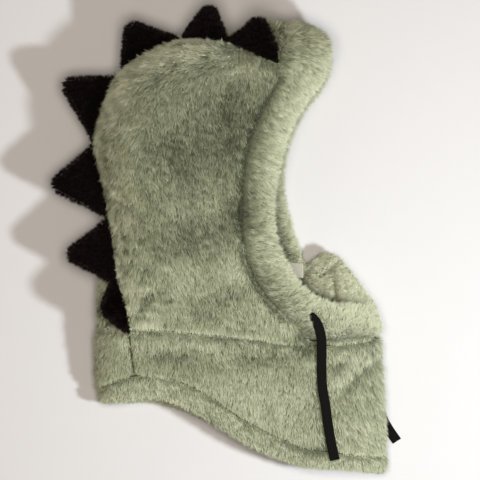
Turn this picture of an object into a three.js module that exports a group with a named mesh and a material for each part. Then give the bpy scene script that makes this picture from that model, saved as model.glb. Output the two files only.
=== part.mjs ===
// A plush hood with a stuffed row of spikes, a drawcord casing round the face and a neck collar,
// lying on its left side on a table. Millimetres, +Z up off the table, +Y from the neck to the
// crown, +X out of the face. "Near" is the wearer's right side, which lies on top, and "far" is
// the left side, which lies on the table. The origin is under the middle of the hood.
import * as THREE from "three";

// Cloth and gaps
const WALL = 6; // two layers of plush with the pile pressed down
const SEAM_GAP = 0.4; // between the two crown panels
const CASING_GAP = 0.9; // between a panel's edge and the face casing
const SEAM_DIP = 2.2; // how deep a seam sits below the cloth beside it
const SPINE_DIP = 0.5; // the centre seam's dip, below the spikes
const SEAM_REACH = 5; // how far from the seam the cloth starts to dip

// Rounding of the folds, measured in the table's plane
const CROWN_RISE = 66;
const COLLAR_RISE = 58;
const FAR_RISE = 50;
const FRONT_RISE = 54;
const FAR_SWAY = 0.7; // how much of the hem's sway its far side has

// Grid of each panel
const NEAR_COLUMNS = 13;
const FAR_COLUMNS = 14;
const COLLAR_SPANS = [
  [0, 1, 16],
  [1, 2, 14],
  [2, 3, 9],
  [3, 4, 10],
];

const FABRIC = {
  plush: { color: 0xa5a883, roughness: 0.95, metalness: 0 },
  spike: { color: 0x14100f, roughness: 0.95, metalness: 0 },
  cord: { color: 0x171412, roughness: 0.85, metalness: 0 },
  label: { color: 0xd9cdb0, roughness: 0.8, metalness: 0 },
};

// Returns a list of objects, one for each row, keyed by the column names.
function table(columns, ...rows) {
  const names = columns.trim().split(/\s+/);
  return rows.map((row) => Object.fromEntries(names.map((name, i) => [name, row[i]])));
}

// One row for each cross-section, from the hem (-3) by the neck seam (0) to the forehead (15).
// back is the outermost point of the fold behind the head, near and far are where the section
// meets the face casing (below the neck seam, the line under that corner), crest is the greatest
// height of the upper side, roll is how far the centre seam lies from the fold, and swing is how
// much of the hem's curve the section follows.
const SECTIONS = table(
  " at  backX backY backZ nearX nearY nearZ farX  farY crest roll swing",
  [-3, -105, -142, 19, 75, -200, 42, 75, -190, 43, 33, 1.0],
  [-2, -107, -123, 22, 75, -165, 49, 73, -130, 50, 33, 0.8],
  [-1, -107, -102, 25, 74, -128, 55, 72, -83, 57, 31, 0.4],
  [0, -107, -82, 28, 74, -92, 60, 71, -45, 64, 28, 0],
  [1, -107, -53, 34, 56, -72, 66, 58, -32, 74, 20, 0],
  [2, -104, -27, 39, 42, -56, 74, 47, -20, 84, 13, 0],
  [3, -100, 14, 43, 31, -40, 79, 38, -8, 93, 5, 0],
  [4, -101, 43, 47, 23, -23, 82, 32, 4, 99, 1, 0],
  [5, -105, 69, 50, 19, -4, 84, 27, 18, 103, 0, 0],
  [6, -108, 86, 52, 18, 15, 85, 25, 31, 104, 0, 0],
  [7, -104, 106, 52, 17, 32, 86, 25, 45, 104, 0, 0],
  [8, -97, 126, 52, 18, 48, 87, 26, 59, 103, 0, 0],
  [9, -86, 146, 51, 21, 67, 88, 27, 74, 102, 0, 0],
  [10, -64, 162, 50, 25, 85, 88, 31, 89, 100, 0, 0],
  [11, -38, 175, 50, 31, 102, 89, 35, 103, 98, 1, 0],
  [12, -12, 179, 50, 38, 116, 89, 41, 116, 97, 5, 0],
  [13, 14, 182, 49, 43, 127, 89, 47, 127, 95, 16, 0],
  [14, 38, 186, 48, 47, 137, 89, 51, 135, 93, 27, 0],
  [15, 60, 187, 47, 51, 144, 89, 54, 143, 90, 33, 0],
);
const HEM_ROW = SECTIONS[0].at;
const FOREHEAD_ROW = SECTIONS.at(-1).at;

// The collar's front fold, which only the sections below the neck seam have.
const FRONT_FOLD = table(
  " at    x     y    z",
  [-3, 147, -204, 19],
  [-2, 144, -163, 22],
  [-1, 142, -119, 24],
  [0, 139.5, -86, 26],
);

// How far the hem's upper side sways from the straight line between fold and near corner.
const HEM_CURVE = table(
  "share rise",
  [0, 0],
  [0.1, 6],
  [0.2, 15],
  [0.33, 20],
  [0.5, 15],
  [0.63, 7.5],
  [0.8, 0.5],
  [1, 0],
);

// The collar's rows: dip of the outer face, wall, and how much thinner the inner face makes it.
// The doubled hem is thick up to its topstitching, and its edge is rounded on both faces.
const COLLAR_ROWS = table(
  "  at   dip wall pinch",
  [-3, 3, 9, 3],
  [-2.93, 0.7, 9, 0.7],
  [-2.75, 0, 9, 0],
  [-2.56, 0.4, 8.4, 0],
  [-2.48, 2, 7.4, 0],
  [-2.4, 0.4, 6.4, 0],
  [-2.15, 0, 6, 0],
  [-1.7, 0, 6, 0],
  [-1.3, 0, 6, 0],
  [-0.9, 0, 6, 0],
  [-0.5, 0, 6, 0],
  [-0.16, 0, 6, 0],
  [-0.02, 2.2, 6, 0],
);

// Soft dents and folds in the upper side: middle, half-lengths along and across, turn in degrees.
const DENTS = table(
  "  x    y  along across turn depth",
  [-8, 92, 34, 15, 62, 4.5],
  [2, 28, 20, 14, 80, 3.5],
  [-34, 60, 26, 16, 70, 2.5],
  [-2, -28, 34, 12, 25, 4.0],
  [-66, 20, 30, 14, 85, 2.0],
  [-42, -66, 26, 9, 5, 2.5],
  [-48, -105, 20, 8, 8, 4.0],
  [62, -104, 40, 9, -4, 4.0],
  [118, -122, 26, 7, 35, 4.5],
  [96, -142, 22, 7, 35, 3.0],
  [30, -150, 40, 10, -20, 3.0],
);

// Spikes along the centre seam, from the neck to the forehead: the sections between which the
// base is sewn, the tip, and the stuffed thickness at the base.
const SPIKES = table(
  "from   to   tipX  tipY tipZ thick",
  [0.04, 1.75, -102, -62, 76, 14],
  [1.72, 3.15, -134, -14, 56, 15],
  [3.15, 5.9, -147, 47, 52, 18],
  [5.95, 8.85, -137, 137, 54, 18],
  [9.0, 11.05, -79, 189, 60, 17],
  [11.15, 12.45, -8, 204, 70, 16],
  [12.5, 14.9, 36, 193, 98, 16],
);
const SPIKE_ROWS = 6;
const SPIKE_COLUMNS = 8;
const SPIKE_LIFT = 0.45; // the base's clearance off the crown
const SPIKE_EDGE = 1.8; // half the thickness of a spike's sewn edge
const SPIKE_TIP = 4; // half the width of its blunt tip
const SPIKE_BULGE = 1.5; // how far its sides bow out

// The free edge of the face casing. key runs 0 to 1 down the near side, to 2 round the chin, to 3
// up the far side and to 4 over the forehead. puff is half the casing's thickness.
const RIM = table(
  " key    x     y    z  puff",
  [0.0, 86, 139.5, 69, 7.5],
  [0.13, 73, 122, 72, 7.5],
  [0.27, 61, 101, 74, 7.5],
  [0.4, 50, 70, 75, 7.5],
  [0.53, 44, 30, 75, 7.5],
  [0.67, 47, -3, 73, 7.5],
  [0.8, 62, -34, 67, 7.5],
  [0.9, 77, -50, 60, 7.5],
  [1.0, 89, -56, 53, 7],
  [1.15, 104, -61, 47, 7],
  [1.35, 120, -60, 41, 6.5],
  [1.5, 131, -56, 36, 5.5],
  [1.65, 122, -47, 35, 8],
  [1.8, 110, -31, 35, 10],
  [1.9, 101, -15, 31, 9.5],
  [2.0, 88, -15, 23, 8],
  [2.07, 76, -23, 17, 6.5],
  [2.17, 64, 2, 11, 6.5],
  [2.3, 56, 24, 11, 6.5],
  [2.47, 53, 47, 11, 6.5],
  [2.6, 54, 69, 11, 6.5],
  [2.73, 62, 96, 11, 6.5],
  [2.87, 75, 119, 11, 6.5],
  [3.0, 88, 135, 12, 6.5],
  [3.25, 95, 154, 22, 7],
  [3.52, 92, 174, 48, 7.5],
  [3.75, 95, 165, 66, 7.5],
  [3.91, 91, 151, 70, 7.5],
);

// The casing's section: how far across it, and how high, as a share of puff.
const CASING_SECTION = table(
  "across high",
  [0, 0.15],
  [0.1, 0.7],
  [0.3, 0.97],
  [0.55, 1],
  [0.8, 0.78],
  [0.95, 0.42],
  [1, 0],
  [0.93, -0.45],
  [0.7, -0.8],
  [0.4, -0.8],
  [0.14, -0.6],
  [0, -0.15],
);

// Drawcord: a flat woven cord, one end hanging out of each side of the chin. s runs from the
// buttonhole to the free end, and upX and upY lean its broad side off the level.
const CORD_WIDTH = 8;
const CORD_THICK = 1.8;
const CORD_STEPS = 9;
const CORD_RIGHT = table(
  "s    x     y    z   upX   upY",
  [0, 80.5, -65.6, 64.8, 0.4, 0],
  [1, 85.8, -74, 64.2, 0.15, 0],
  [2, 89.3, -86, 63.5, 0, -0.08],
  [3, 89.8, -99.4, 60.6, 0, -0.17],
  [4, 89.8, -115.3, 58.4, 0, -0.1],
  [5, 90.6, -131.1, 55.9, 0.1, -0.12],
  [6, 93.3, -147, 53.2, 0.05, -0.12],
  [7, 95.9, -166.3, 50.3, 0, -0.15],
  [8, 99, -183, 47.1, 0.03, -0.2],
  [9, 101.6, -194.5, 45.2, 0.05, -0.2],
);
const CORD_LEFT = table(
  "s    x     y    z   upX   upY",
  [0, 111, -58, 0.95, 0, 0],
  [1, 119.5, -80, 0.95, 0, 0],
  [2, 129, -110, 0.95, 0, 0],
  [3, 138, -140, 0.95, 0, 0],
  [4, 146, -162, 0.95, 0, 0],
  [5, 157, -179, 0.95, 0, 0],
);
const CORD_SECTION = table(
  "across high",
  [-1, 0.4],
  [-0.85, 1],
  [0, 1],
  [0.85, 1],
  [1, 0.4],
  [1, -0.4],
  [0.85, -1],
  [0, -1],
  [-0.85, -1],
  [-1, -0.4],
);

// Woven label, lying against the far side's casing just inside the neck. Turns are in degrees.
const LABEL = table(
  " x    y    z   width depth thick pitch roll turn",
  [65, -27, 16.05, 20, 13, 1, 17, -31, -8],
)[0];

// Reads a table at any position between its rows, on a smooth curve through them.
function readTable(rows, key, position) {
  const last = rows.length - 1;
  let i = rows.findIndex((row) => row[key] > position) - 1;
  if (i === -2) i = last - 1;
  i = Math.min(Math.max(i, 0), last - 1);
  const t = (position - rows[i][key]) / (rows[i + 1][key] - rows[i][key]);
  const [a, b, c, d] = [i - 1, i, i + 1, i + 2].map((n) => rows[Math.min(Math.max(n, 0), last)]);
  const values = {};
  for (const name of Object.keys(b)) {
    const slopeB = (c[name] - a[name]) / 2;
    const slopeC = (d[name] - b[name]) / 2;
    values[name] =
      (2 * t ** 3 - 3 * t ** 2 + 1) * b[name] +
      (t ** 3 - 2 * t ** 2 + t) * slopeB +
      (3 * t ** 2 - 2 * t ** 3) * c[name] +
      (t ** 3 - t ** 2) * slopeC;
  }
  return values;
}

const { lerp, smoothstep } = THREE.MathUtils;

// Height of a rounded fold, from 0 at its outermost point to 1 where it has levelled out.
function fold(share) {
  return share >= 1 ? 1 : Math.sqrt(1 - (1 - share) ** 2);
}

function dentDepth(x, y) {
  let depth = 0;
  for (const dent of DENTS) {
    const turn = THREE.MathUtils.degToRad(dent.turn);
    const along = (x - dent.x) * Math.cos(turn) + (y - dent.y) * Math.sin(turn);
    const across = (y - dent.y) * Math.cos(turn) - (x - dent.x) * Math.sin(turn);
    depth += dent.depth * Math.exp(-((along / dent.along) ** 2) - (across / dent.across) ** 2);
  }
  return depth;
}

// A point of the cloth's outer face. round goes 0 at the near corner, 1 at the back fold, 2 at the
// far corner, 3 at the front fold and 4 at the near corner again, and squares its way in the
// table's plane from a fold, so that it runs evenly round the fold.
function clothPoint(at, round) {
  const row = readTable(SECTIONS, "at", at);
  const front = readTable(FRONT_FOLD, "at", Math.min(at, 0));
  const isBack = round <= 2;
  const isUpper = round <= 1 || round > 3;
  const edge = isBack ? [row.backX, row.backY, row.backZ] : [front.x, front.y, front.z];
  const corner = isUpper ? [row.nearX, row.nearY] : [row.farX, row.farY];
  const share = (round - (isBack ? 1 : 3)) ** 2;
  const x = lerp(edge[0], corner[0], share);
  let y = lerp(edge[1], corner[1], share);
  const length = Math.hypot(corner[0] - edge[0], corner[1] - edge[1]);
  const backRise = lerp(CROWN_RISE, COLLAR_RISE, smoothstep(-at, 0, 3));
  const upperRise = isBack ? backRise : FRONT_RISE;
  const rise = Math.min(isUpper ? upperRise : FAR_RISE, length * 0.96);
  const risen = fold((share * length) / rise);
  const sway = isBack ? row.swing * readTable(HEM_CURVE, "share", share).rise : 0;
  if (!isUpper) return new THREE.Vector3(x, y + FAR_SWAY * sway, edge[2] * (1 - risen));
  y += sway;
  const top = lerp(row.crest, row.nearZ, smoothstep(share, 0.3, 1));
  return new THREE.Vector3(x, y, lerp(edge[2], top, risen) - risen * dentDepth(x, y));
}

// Outward normal of the cloth, from its slopes along the seam and round the section.
function clothNormal(at, round) {
  const step = 0.02;
  const [low, high] = [Math.max(at - step, HEM_ROW), Math.min(at + step, FOREHEAD_ROW)];
  const turn = (r) => (at < 0 ? (r + 4) % 4 : THREE.MathUtils.clamp(r, 0, 2));
  const along = clothPoint(high, round).sub(clothPoint(low, round));
  const across = clothPoint(at, turn(round + step)).sub(clothPoint(at, turn(round - step)));
  return along.cross(across).normalize();
}

// Where the centre seam crosses a section.
function seamRound(at) {
  const row = readTable(SECTIONS, "at", at);
  const length = Math.hypot(row.nearX - row.backX, row.nearY - row.backY);
  return 1 - Math.sqrt(Math.max(row.roll, 0) / length);
}

// Places between two ends of a section, spread evenly by length, with one close to each end.
// The ends stand back from the seams by the two gaps.
function spreadRounds(at, from, to, count, [fromGap, toGap] = [0, 0]) {
  const fine = 160;
  const lengths = [0];
  let last = clothPoint(at, from);
  for (let i = 1; i <= fine; i++) {
    const next = clothPoint(at, lerp(from, to, i / fine));
    lengths.push(lengths[i - 1] + next.distanceTo(last));
    last = next;
  }
  const total = lengths[fine];
  const shares = [fromGap / total, SEAM_REACH / total];
  for (let i = 1; i < count; i++) shares.push(i / count);
  shares.push(1 - SEAM_REACH / total, 1 - toGap / total);
  return shares.map((share) => {
    const i = Math.max(1, lengths.findIndex((length) => length >= share * total));
    const part = (share * total - lengths[i - 1]) / (lengths[i] - lengths[i - 1]);
    return lerp(from, to, (i - 1 + part) / fine);
  });
}

// Two faces of cloth, the outer one dipping at the seams, from the places of each row.
function clothFaces(rows, rounds, dips) {
  const outer = [];
  const inner = [];
  rows.forEach((row, i) => {
    const outside = [];
    const inside = [];
    rounds[i].forEach((round, j) => {
      const point = clothPoint(row.at, round);
      const normal = clothNormal(row.at, round);
      const dip = Math.max(row.dip, dips ? dips[j] : 0);
      outside.push(point.clone().addScaledVector(normal, -dip));
      inside.push(point.clone().addScaledVector(normal, -row.wall + row.pinch));
    });
    outer.push(outside);
    inner.push(inside);
  });
  return [outer, inner];
}

// A mesh from points and the triangles between them, turned over if they face inwards.
function meshOf(vertices, faces) {
  const geometry = new THREE.BufferGeometry();
  const numbers = vertices.flatMap((vertex) => vertex.toArray());
  geometry.setAttribute("position", new THREE.Float32BufferAttribute(numbers, 3));
  geometry.setIndex(faces.flat());
  let volume = 0;
  for (const [a, b, c] of faces) {
    volume += vertices[a].dot(new THREE.Vector3().crossVectors(vertices[b], vertices[c]));
  }
  if (volume < 0) geometry.setIndex(faces.flatMap(([a, b, c]) => [a, c, b]));
  return geometry;
}

// A closed shell: outer face, inner face and the edges that join them.
function shell([outer, inner], isTube) {
  const rows = outer.length;
  const columns = outer[0].length;
  const vertices = [...outer.flat(), ...inner.flat()];
  const id = (side, i, j) => (side * rows + i) * columns + (j % columns);
  const faces = [];
  const quad = (a, b, c, d) => faces.push([a, b, c], [a, c, d]);
  const spans = isTube ? columns : columns - 1;
  for (let i = 0; i < rows - 1; i++) {
    for (let j = 0; j < spans; j++) {
      quad(id(0, i, j), id(0, i, j + 1), id(0, i + 1, j + 1), id(0, i + 1, j));
      quad(id(1, i, j), id(1, i + 1, j), id(1, i + 1, j + 1), id(1, i, j + 1));
    }
    if (!isTube) {
      quad(id(0, i, 0), id(0, i + 1, 0), id(1, i + 1, 0), id(1, i, 0));
      quad(id(0, i, spans), id(1, i, spans), id(1, i + 1, spans), id(0, i + 1, spans));
    }
  }
  const end = rows - 1;
  for (let j = 0; j < spans; j++) {
    quad(id(0, 0, j), id(1, 0, j), id(1, 0, j + 1), id(0, 0, j + 1));
    quad(id(0, end, j), id(0, end, j + 1), id(1, end, j + 1), id(1, end, j));
  }
  return meshOf(vertices, faces);
}

// A closed loft through rings of equal size. A ring's two halves run side by side, so that a
// cap can be laddered across it, at the first ring by way of the middle points where given.
function loft(rings, isLoop, middles) {
  const size = rings[0].length;
  const count = rings.length;
  const id = (i, j) => (i % count) * size + (j % size);
  const faces = [];
  for (let i = 0; i < (isLoop ? count : count - 1); i++) {
    for (let j = 0; j < size; j++) {
      faces.push([id(i, j), id(i, j + 1), id(i + 1, j + 1)], [id(i, j), id(i + 1, j + 1), id(i + 1, j)]);
    }
  }
  const vertices = [...rings.flat(), ...(middles ?? [])];
  const end = count - 1;
  const half = size / 2;
  for (let j = 0; !isLoop && j < half - 1; j++) {
    const k = size - 1 - j;
    const m = size * count + j;
    faces.push([id(end, j), id(end, k - 1), id(end, k)], [id(end, j), id(end, j + 1), id(end, k - 1)]);
    if (middles) {
      faces.push([id(0, j), m, m + 1], [id(0, j), m + 1, id(0, j + 1)]);
      faces.push([m, id(0, k), id(0, k - 1)], [m, id(0, k - 1), m + 1]);
    } else {
      faces.push([id(0, j), id(0, k), id(0, k - 1)], [id(0, j), id(0, k - 1), id(0, j + 1)]);
    }
  }
  if (middles) {
    const m = size * count;
    faces.push([id(0, 0), id(0, size - 1), m], [id(0, half - 1), m + half - 1, id(0, half)]);
  }
  return meshOf(vertices, faces);
}

// Crown panels
const CROWN_ROWS = [{ at: 0.006, dip: SEAM_DIP, wall: WALL, pinch: 0 }];
for (let at = 0.15; at < FOREHEAD_ROW; at = at < 0.4 ? 0.5 : at + 0.5) {
  CROWN_ROWS.push({ at, dip: 0, wall: WALL, pinch: 0 });
}
CROWN_ROWS.push({ at: FOREHEAD_ROW - 0.2, dip: 0, wall: WALL, pinch: 0 });
CROWN_ROWS.push({ at: FOREHEAD_ROW - 0.08, dip: SEAM_DIP, wall: WALL, pinch: 0 });

function crownPanel(fromRound, toRound, columns, gaps, [fromDip, toDip]) {
  const rounds = CROWN_ROWS.map(({ at }) => spreadRounds(at, fromRound(at), toRound(at), columns, gaps));
  const dips = rounds[0].map(() => 0);
  dips[0] = fromDip;
  dips[dips.length - 1] = toDip;
  return shell(clothFaces(CROWN_ROWS, rounds, dips), false);
}

// Places round the collar.
function collarPlaces(spans) {
  const places = [];
  for (const [from, to, count] of spans) {
    for (let i = 0; i < count; i++) places.push(lerp(from, to, i / count));
  }
  return places;
}

function neckCape() {
  const places = collarPlaces(COLLAR_SPANS);
  return shell(clothFaces(COLLAR_ROWS, COLLAR_ROWS.map(() => places), null), true);
}

// Face casing
function casingEdge(key) {
  if (key <= 1) return [lerp(FOREHEAD_ROW, 0, key), 0];
  if (key <= 2) return [0, lerp(4, 2, key - 1)];
  if (key <= 3) return [lerp(0, FOREHEAD_ROW, key - 2), 2];
  return [FOREHEAD_ROW, lerp(2, 0, key - 3)];
}

function casingRoot(key) {
  const [at, round] = casingEdge((key + 4) % 4);
  const point = clothPoint(at, round);
  return point.addScaledVector(clothNormal(at - (at === 0 ? 0.001 : 0), round), -WALL / 2);
}

function casingRim(key) {
  const wrapped = [
    ...RIM.slice(-2).map((row) => ({ ...row, key: row.key - 4 })),
    ...RIM,
    ...RIM.slice(0, 3).map((row) => ({ ...row, key: row.key + 4 })),
  ];
  return readTable(wrapped, "key", (key + 4) % 4);
}

function rimPoint(key) {
  const { x, y, z } = casingRim(key);
  return new THREE.Vector3(x, y, z);
}

function faceBand() {
  const side = CROWN_ROWS.map(({ at }) => at / FOREHEAD_ROW).slice(1, -1);
  const chin = collarPlaces(COLLAR_SPANS.slice(2)).map((place) => 1 + (4 - place) / 2);
  const over = [
    ...spreadRounds(FOREHEAD_ROW, 0, seamRound(FOREHEAD_ROW), NEAR_COLUMNS),
    ...spreadRounds(FOREHEAD_ROW, seamRound(FOREHEAD_ROW), 2, FAR_COLUMNS).slice(1),
  ].map((round) => 3 + (2 - round) / 2);
  const keys = [...side.map((s) => 1 - s), ...chin, ...side.map((s) => 2 + s), ...over];
  keys.sort((a, b) => a - b);
  const rings = keys.map((key) => {
    const root = casingRoot(key);
    const out = rimPoint(key).sub(root);
    const ahead = casingRoot(key + 0.03).add(rimPoint(key + 0.03));
    const behind = casingRoot(key - 0.03).add(rimPoint(key - 0.03));
    const normal = ahead.sub(behind).cross(out).normalize();
    return CASING_SECTION.map(({ across, high }) => {
      const point = root.clone().addScaledVector(out, Math.max(across, CASING_GAP / out.length()));
      point.addScaledVector(normal, high * casingRim(key).puff);
      point.z = Math.max(point.z, 0);
      return point;
    });
  });
  return loft(rings, true);
}

// Spikes
function spikeMesh(spike) {
  const inset = 0.05;
  const tip = new THREE.Vector3(spike.tipX, spike.tipY, spike.tipZ);
  const bottoms = [];
  for (let i = 0; i <= SPIKE_COLUMNS; i++) {
    const u = (2 * i) / SPIKE_COLUMNS - 1;
    const at = lerp(spike.from + inset, spike.to - inset, i / SPIKE_COLUMNS);
    const round = seamRound(at);
    const half = SPIKE_EDGE + (spike.thick / 2 - SPIKE_EDGE) * Math.sqrt(1 - u * u);
    const speed = clothPoint(at, round + 0.01).distanceTo(clothPoint(at, round - 0.01)) / 0.02;
    const place = (side) => {
      const r = round + (side * half) / speed;
      return clothPoint(at, r).addScaledVector(clothNormal(at, r), SPIKE_LIFT);
    };
    bottoms.push({ u, half, nearSide: place(-1), farSide: place(1), middle: place(0) });
  }
  const first = bottoms[0].middle;
  const last = bottoms.at(-1).middle;
  const along = last.clone().sub(first).normalize();
  const rise = tip.clone().sub(first.clone().add(last).multiplyScalar(0.5));
  const flat = rise.clone().cross(along).normalize();
  if (flat.dot(bottoms[3].nearSide.clone().sub(bottoms[3].farSide)) < 0) flat.negate();
  const rings = [];
  for (let row = 0; row <= SPIKE_ROWS; row++) {
    const t = row / SPIKE_ROWS;
    const plump = Math.sqrt(1 - t) * (1 - t * 0.25);
    const half = (bottom) => SPIKE_EDGE * (1 - 0.3 * t) + (bottom.half - SPIKE_EDGE) * plump + t * 1.6;
    const centre = (bottom) => {
      const point = bottom.middle.clone().lerp(tip.clone().addScaledVector(along, bottom.u * SPIKE_TIP), t);
      return point.addScaledVector(along, bottom.u * SPIKE_BULGE * 4 * t * (1 - t));
    };
    const upper = bottoms.map((b) => (row ? centre(b).addScaledVector(flat, half(b)) : b.nearSide));
    const lower = bottoms.map((b) => (row ? centre(b).addScaledVector(flat, -half(b)) : b.farSide));
    rings.push([...upper, ...lower.reverse()]);
  }
  return loft(rings, false, bottoms.map((bottom) => bottom.middle));
}

// Cords: a flat section carried along a path, its broad side facing the given way.
function cordMesh(path) {
  const rings = [];
  const count = CORD_STEPS;
  for (let i = 0; i <= count; i++) {
    const position = lerp(path[0].s, path.at(-1).s, i / count);
    const here = readTable(path, "s", position);
    const next = readTable(path, "s", position + 0.01);
    const last = readTable(path, "s", position - 0.01);
    const along = new THREE.Vector3(next.x - last.x, next.y - last.y, next.z - last.z).normalize();
    const up = new THREE.Vector3(here.upX, here.upY, 1).normalize();
    const side = up.clone().cross(along).normalize();
    const high = along.clone().cross(side).normalize();
    rings.push(
      CORD_SECTION.map(({ across, high: rise }) =>
        new THREE.Vector3(here.x, here.y, here.z)
          .addScaledVector(side, (across * CORD_WIDTH) / 2)
          .addScaledVector(high, (rise * CORD_THICK) / 2),
      ),
    );
  }
  return loft(rings, false);
}

const hood = new THREE.Group();
hood.name = "plush_spiked_hood";
function add(name, geometry, fabric) {
  const mesh = new THREE.Mesh(geometry, new THREE.MeshStandardMaterial(FABRIC[fabric]));
  mesh.name = name;
  hood.add(mesh);
}

const NEAR_GAPS = [CASING_GAP, SEAM_GAP / 2];
const NEAR_DIPS = [SEAM_DIP, SPINE_DIP];
const FAR_GAPS = NEAR_GAPS.toReversed();
const FAR_DIPS = NEAR_DIPS.toReversed();
add("crown_right", crownPanel(() => 0, seamRound, NEAR_COLUMNS, NEAR_GAPS, NEAR_DIPS), "plush");
add("crown_left", crownPanel(seamRound, () => 2, FAR_COLUMNS, FAR_GAPS, FAR_DIPS), "plush");
add("neck_cape", neckCape(), "plush");
add("face_band", faceBand(), "plush");
SPIKES.forEach((spike, i) => add(`spike_${i + 1}`, spikeMesh(spike), "spike"));
add("drawcord_right", cordMesh(CORD_RIGHT), "cord");
add("drawcord_left", cordMesh(CORD_LEFT), "cord");

const label = new THREE.BoxGeometry(LABEL.width, LABEL.depth, LABEL.thick);
label.rotateZ(THREE.MathUtils.degToRad(LABEL.turn));
label.rotateX(THREE.MathUtils.degToRad(LABEL.pitch));
label.rotateY(THREE.MathUtils.degToRad(LABEL.roll));
label.translate(LABEL.x, LABEL.y, LABEL.z);
add("neck_label", label, "label");

export default hood;
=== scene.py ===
"""Dresses a plush hood with stuffed spikes, which lies on its left side on a pale table.

Metres, +Z up off the table, +Y from the neck to the crown, +X out of the face. Each cloth part is a
smooth skin with a coat of pile on it, and its cords, label and stitches are pieces of their own.
"""
import math

import bmesh
import bpy
import numpy as np
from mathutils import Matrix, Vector, noise
from mathutils.bvhtree import BVHTree
from mathutils.kdtree import KDTree


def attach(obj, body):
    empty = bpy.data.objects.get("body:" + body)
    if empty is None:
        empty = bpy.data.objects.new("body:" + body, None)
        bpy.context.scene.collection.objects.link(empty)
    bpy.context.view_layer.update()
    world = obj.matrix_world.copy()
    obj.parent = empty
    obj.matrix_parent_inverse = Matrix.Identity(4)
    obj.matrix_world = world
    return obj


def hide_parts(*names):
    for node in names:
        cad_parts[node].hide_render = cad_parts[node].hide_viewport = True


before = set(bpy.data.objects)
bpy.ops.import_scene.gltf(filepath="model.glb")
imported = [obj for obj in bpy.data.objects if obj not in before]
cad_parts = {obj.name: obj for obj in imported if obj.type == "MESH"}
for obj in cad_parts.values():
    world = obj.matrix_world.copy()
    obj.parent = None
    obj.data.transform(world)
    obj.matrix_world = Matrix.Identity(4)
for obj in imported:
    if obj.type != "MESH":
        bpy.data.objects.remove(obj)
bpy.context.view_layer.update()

MM = 0.001
BODY = "root"

# Camera: straight above the hood. The picture's width is measured at the hood's middle height.
VIEW_WIDTH = 422.4 * MM
VIEW_CENTRE = (18.04 * MM, -0.88 * MM)
VIEW_LEVEL = 50 * MM
CAMERA_HEIGHT = 8.0
SENSOR = 36.0

# Light: a small lamp on the right that throws the shadows, a broad panel above, and a dim room
LAMP_PLACE = (0.5, -0.24, 0.8)
LAMP_SIZE = 0.1
LAMP_POWER = 5.8
LAMP_COLOUR = (0.885, 0.945, 1.0)
PANEL_HEIGHT = 2.4
PANEL_SIZE = 0.6
PANEL_POWER = 27
PANEL_COLOUR = (1.0, 0.9, 0.81)
ROOM_COLOUR = (0.085, 0.0765, 0.069)
FLOOR_SIZE = 9.0

# Colours as a screen shows them, 0 to 255
FLOOR_PALE = (238, 237, 236)
SAGE_DARK = (98, 104, 80)
SAGE_MIDDLE = (186, 193, 158)
SAGE_LIGHT = (238, 242, 212)
# backing, darker than the pile as painted shade down among the strands
SAGE_BACKING_SHADE = (140, 146, 116)
BLACK_DARK = (12, 8, 8)
BLACK_MIDDLE = (24, 17, 16)
BLACK_LIGHT = (52, 41, 38)
BLACK_BACKING = (18, 13, 12)
CORD_BLACK = (13, 11, 9)
CORD_WORN = (24, 21, 18)
LABEL_CREAM = (255, 250, 230)
# thread, darker than the pile with the painted shadow of the seams' furrows it lies in
SAGE_THREAD_SHADOW = (78, 84, 60)

SHADES = ("Dark", "Middle", "Light")
NO_COLOUR = (0, 0, 0, 1)

# Patterns in the finishes
BACKING_CONTRAST = 3.2
BRAID_RIBS = 1.3 / MM  # half waves to a metre of cord
BRAID_SLANT = 5.0  # half waves that it slants over in a whole width
TAPE_THREAD = 0.5 * MM

# Cords: the flat cord's size, which is 0.6 mm wider than its solid, its ends' routes from the
# buttonhole to the cut end, in millimetres, and how its broad side leans.
CORD_WIDTH = 8.6 * MM
CORD_THICK = 1.8 * MM
CORD_RIGHT = (
    #  x      y      z  lean_x lean_y
    (80.5, -65.6, 64.8, 0.4, 0),
    (85.8, -74, 64.2, 0.15, 0),
    (89.3, -86, 63.5, 0, -0.08),
    (89.8, -99.4, 60.6, 0, -0.17),
    (89.8, -115.3, 58.4, 0, -0.1),
    (90.6, -131.1, 55.9, 0.1, -0.12),
    (93.3, -147, 53.2, 0.05, -0.12),
    (95.9, -166.3, 50.3, 0, -0.15),
    (99, -183, 47.1, 0.03, -0.2),
    (101.6, -194.5, 45.2, 0.05, -0.2),
)
CORD_LEFT = tuple(
    (x, y, 0.95, 0, 0)
    for x, y in ((111, -58), (119.5, -80), (129, -110), (138, -140), (146, -162), (157, -179))
)
CORD_POINTS = 40
CORD_SIDES = 20
CORD_SQUARENESS = 0.35
CORD_GATHER = 0.5  # share of its width at the buttonhole
CORD_GATHERED = 1.3  # route points over which it spreads out again

# Stitched lines and seams on the upper side, in millimetres. NECK_JOIN is where crown and collar
# join under the pile, and the last two are the face casing's seam up to the forehead.
HEM_LINE = (
    (-104.3, -129.8), (-89.3, -124.1), (-79.6, -121.4), (-69.1, -119.7), (-60.3, -120.6),
    (-41.8, -123.2), (-26.8, -128.5), (-8.4, -138.2), (18, -157.5), (45.3, -171.6),
    (71.7, -183.9), (106.9, -189.2), (144.8, -191.8),
)
BACK_LINE = ((-80.1, -80.1), (-78.4, -92), (-75.2, -118))
NECK_LINE = (
    (-79.6, -80.1), (-61, -79.6), (-34.8, -81.8), (-17.2, -83.6), (2.2, -85.4), (18, -87.1),
    (37.4, -88.9),
)
CHIN_LINE = (
    (37.4, -89.5), (53.2, -91.5), (70.8, -93.3), (86.7, -93.8), (106, -93), (123, -90.6),
    (141, -87.4),
)
NECK_JOIN = ((-100, -80), (-75, -82), (-50, -84.5), (-25, -86.3), (0, -88), (25, -89.5), (75, -92))
CASING_LINE = (
    (18.9, -13), (24.2, -24.6), (30.4, -37.8), (37.4, -49.3), (44.4, -58), (55.9, -68.6),
)
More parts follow.
